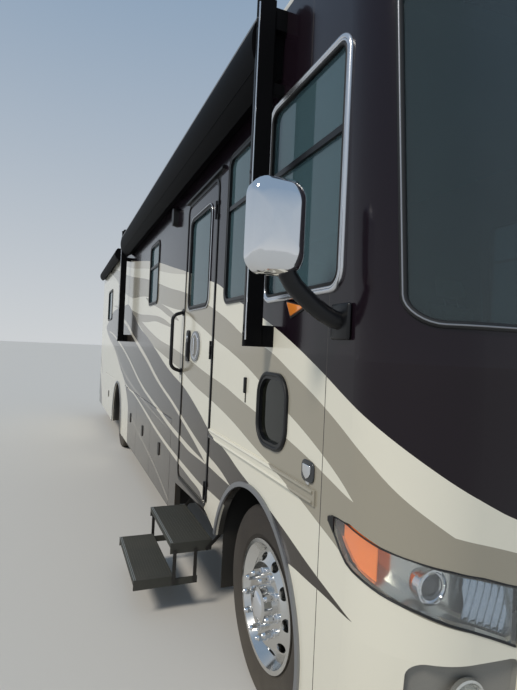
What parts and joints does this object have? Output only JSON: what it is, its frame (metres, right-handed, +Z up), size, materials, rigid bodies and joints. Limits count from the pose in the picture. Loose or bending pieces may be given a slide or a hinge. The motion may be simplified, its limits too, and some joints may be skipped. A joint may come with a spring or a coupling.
{
  "type": "class A motorhome",
  "caption": "Large square-fronted motorhome with twin rear wheels, side entry door over folding double steps, awning, luggage bays and big mirrors.",
  "frame": {"origin": "on the ground, below the middle of the body length, on the centre plane", "axes": "+X forward, +Y to the driver side (left), +Z up"},
  "size_m": [11.188, 3.365, 3.78],
  "materials": {
    "coach_paint": "clear-coated moulded skin",
    "roof_skin": "white gel coat",
    "window_glass": "tinted",
    "black_trim": "satin black",
    "awning_black": "black coated",
    "mirror_chrome": "bright",
    "lamp_clear": "clear lens over bright bowls",
    "lamp_red": "red lens",
    "ladder_alloy": "bright",
    "chassis_black": "black chassis paint",
    "step_tread": "dark tread coating",
    "engine_iron": "plain",
    "tank_plastic": "black",
    "exhaust_steel": "aluminised",
    "floor_board": "boarded",
    "bay_lining": "moulded lining",
    "dash_vinyl": "soft grain",
    "seat_leather": "light tan",
    "tyre_rubber": "road tyre",
    "wheel_alloy": "polished"
  },
  "bodies": {
    "coach": {"side_wall_right": "coach_paint", "side_wall_left": "coach_paint", "front_cap": "coach_paint", "front_bumper": "coach_paint", "rear_cap": "coach_paint", "roof": "roof_skin", "roof_units": "roof_skin", "windshield": "window_glass", "side_glass": "window_glass", "window_frames": "black_trim", "wipers": "black_trim", "grab_handle": "black_trim", "grille": "black_trim", "awning_roller": "awning_black", "awning_arms": "awning_black", "mirrors": "mirror_chrome", "headlamps": "lamp_clear", "tail_lamps": "lamp_red", "ladder": "ladder_alloy", "chassis_frame": "chassis_black", "chassis_crossmembers": "chassis_black", "hitch_receiver": "chassis_black", "front_axle": "chassis_black", "rear_axle": "chassis_black", "step_frame": "chassis_black", "engine": "engine_iron", "fuel_tank": "tank_plastic", "exhaust": "exhaust_steel", "floor": "floor_board", "basement": "bay_lining", "dashboard": "dash_vinyl", "front_seats": "seat_leather"},
    "entry_door": {"entry_door": "coach_paint", "entry_door_glass": "window_glass"},
    "front_hood": {"front_hood": "coach_paint"},
    "steering_wheel": {"steering_wheel": "dash_vinyl"},
    "step_arms": {"step_arms": "chassis_black"},
    "step_upper": {"step_upper": "step_tread"},
    "step_links_inner": {"step_links_inner": "chassis_black"},
    "step_links_outer": {"step_links_outer": "chassis_black"},
    "step_lower": {"step_lower": "step_tread"},
    "bay_door_right_1": {"bay_door_right_1": "coach_paint"},
    "bay_door_right_2": {"bay_door_right_2": "coach_paint"},
    "bay_door_right_3": {"bay_door_right_3": "coach_paint"},
    "bay_door_right_4": {"bay_door_right_4": "coach_paint"},
    "bay_door_left_1": {"bay_door_left_1": "coach_paint"},
    "bay_door_left_2": {"bay_door_left_2": "coach_paint"},
    "bay_door_left_3": {"bay_door_left_3": "coach_paint"},
    "knuckle_right": {"knuckle_right": "chassis_black"},
    "front_wheel_right": {"front_tyre_right": "tyre_rubber", "front_disc_right": "wheel_alloy"},
    "rear_wheels_right": {"rear_tyres_right": "tyre_rubber", "rear_discs_right": "wheel_alloy"},
    "knuckle_left": {"knuckle_left": "chassis_black"},
    "front_wheel_left": {"front_tyre_left": "tyre_rubber", "front_disc_left": "wheel_alloy"},
    "rear_wheels_left": {"rear_tyres_left": "tyre_rubber", "rear_discs_left": "wheel_alloy"}
  },
  "joints": [
    {"name": "entry_door_hinge", "type": "hinge", "parent": "coach", "child": "entry_door", "pos_m": [3.522, -1.29, 1.7], "axis": [0, 0, 1], "range_deg": [0, 120]},
    {"name": "bay_door_right_1_hinge", "type": "hinge", "parent": "coach", "child": "bay_door_right_1", "pos_m": [1.92, -1.265, 1.065], "axis": [-1, 0, 0], "range_deg": [0, 90]},
    {"name": "bay_door_right_2_hinge", "type": "hinge", "parent": "coach", "child": "bay_door_right_2", "pos_m": [0.92, -1.265, 1.065], "axis": [-1, 0, 0], "range_deg": [0, 90]},
    {"name": "bay_door_right_3_hinge", "type": "hinge", "parent": "coach", "child": "bay_door_right_3", "pos_m": [-0.08, -1.265, 1.065], "axis": [-1, 0, 0], "range_deg": [0, 90]},
    {"name": "bay_door_right_4_hinge", "type": "hinge", "parent": "coach", "child": "bay_door_right_4", "pos_m": [-3.2, -1.265, 1.065], "axis": [-1, 0, 0], "range_deg": [0, 90]},
    {"name": "bay_door_left_1_hinge", "type": "hinge", "parent": "coach", "child": "bay_door_left_1", "pos_m": [1.67, 1.265, 1.065], "axis": [1, 0, 0], "range_deg": [0, 90]},
    {"name": "bay_door_left_2_hinge", "type": "hinge", "parent": "coach", "child": "bay_door_left_2", "pos_m": [0.17, 1.265, 1.065], "axis": [1, 0, 0], "range_deg": [0, 90]},
    {"name": "bay_door_left_3_hinge", "type": "hinge", "parent": "coach", "child": "bay_door_left_3", "pos_m": [-3.2, 1.265, 1.065], "axis": [1, 0, 0], "range_deg": [0, 90]},
    {"name": "front_hood_hinge", "type": "hinge", "parent": "coach", "child": "front_hood", "pos_m": [5.555, 0, 1.357], "axis": [0, -1, 0], "range_deg": [0, 75]},
    {"name": "steer_left", "type": "hinge", "parent": "coach", "child": "knuckle_left", "pos_m": [4.4, 0.93, 0.47], "axis": [0, 0, 1], "range_deg": [-42, 42]},
    {"name": "steer_right", "type": "hinge", "parent": "coach", "child": "knuckle_right", "pos_m": [4.4, -0.93, 0.47], "axis": [0, 0, 1], "range_deg": [-42, 42]},
    {"name": "steering_wheel_turn", "type": "hinge", "parent": "coach", "child": "steering_wheel", "pos_m": [4.6, 0.62, 1.8], "axis": [-0.766, 0, 0.6428], "range_deg": [-672, 672]},
    {"name": "front_wheel_right_spin", "type": "hinge", "parent": "knuckle_right", "child": "front_wheel_right", "pos_m": [4.4, -1.108, 0.47], "axis": [0, 1, 0], "continuous": true},
    {"name": "rear_wheels_right_spin", "type": "hinge", "parent": "coach", "child": "rear_wheels_right", "pos_m": [-1.747, -1.0725, 0.47], "axis": [0, 1, 0], "continuous": true},
    {"name": "front_wheel_left_spin", "type": "hinge", "parent": "knuckle_left", "child": "front_wheel_left", "pos_m": [4.4, 1.108, 0.47], "axis": [0, 1, 0], "continuous": true},
    {"name": "rear_wheels_left_spin", "type": "hinge", "parent": "coach", "child": "rear_wheels_left", "pos_m": [-1.747, 1.0725, 0.47], "axis": [0, 1, 0], "continuous": true},
    {"name": "step_swing", "type": "hinge", "parent": "coach", "child": "step_arms", "pos_m": [3.1425, -1.10858, 0.53742], "axis": [1, 0, 0], "range_deg": [0, 90]},
    {"name": "step_upper_pivot", "type": "hinge", "parent": "step_arms", "child": "step_upper", "pos_m": [3.1425, -1.25, 0.396], "axis": [1, 0, 0], "range_deg": [-90, 0]},
    {"name": "step_link_inner_pivot", "type": "hinge", "parent": "step_upper", "child": "step_links_inner", "pos_m": [3.1425, -1.325, 0.396], "axis": [1, 0, 0], "range_deg": [0, 60]},
    {"name": "step_link_outer_pivot", "type": "hinge", "parent": "step_upper", "child": "step_links_outer", "pos_m": [3.1425, -1.462, 0.396], "axis": [1, 0, 0], "range_deg": [0, 60]},
    {"name": "step_lower_pivot", "type": "hinge", "parent": "step_links_inner", "child": "step_lower", "pos_m": [3.1425, -1.325, 0.196], "axis": [1, 0, 0], "range_deg": [-60, 0]}
  ],
  "couplings": [
    {"joint": "steer_right", "follows": "steer_left", "ratio": 1},
    {"joint": "steering_wheel_turn", "follows": "steer_left", "ratio": 16},
    {"joint": "step_upper_pivot", "follows": "step_swing", "ratio": -1},
    {"joint": "step_link_inner_pivot", "follows": "step_swing", "ratio": 0.66667},
    {"joint": "step_link_outer_pivot", "follows": "step_swing", "ratio": 0.66667},
    {"joint": "step_lower_pivot", "follows": "step_swing", "ratio": -0.66667}
  ]
}
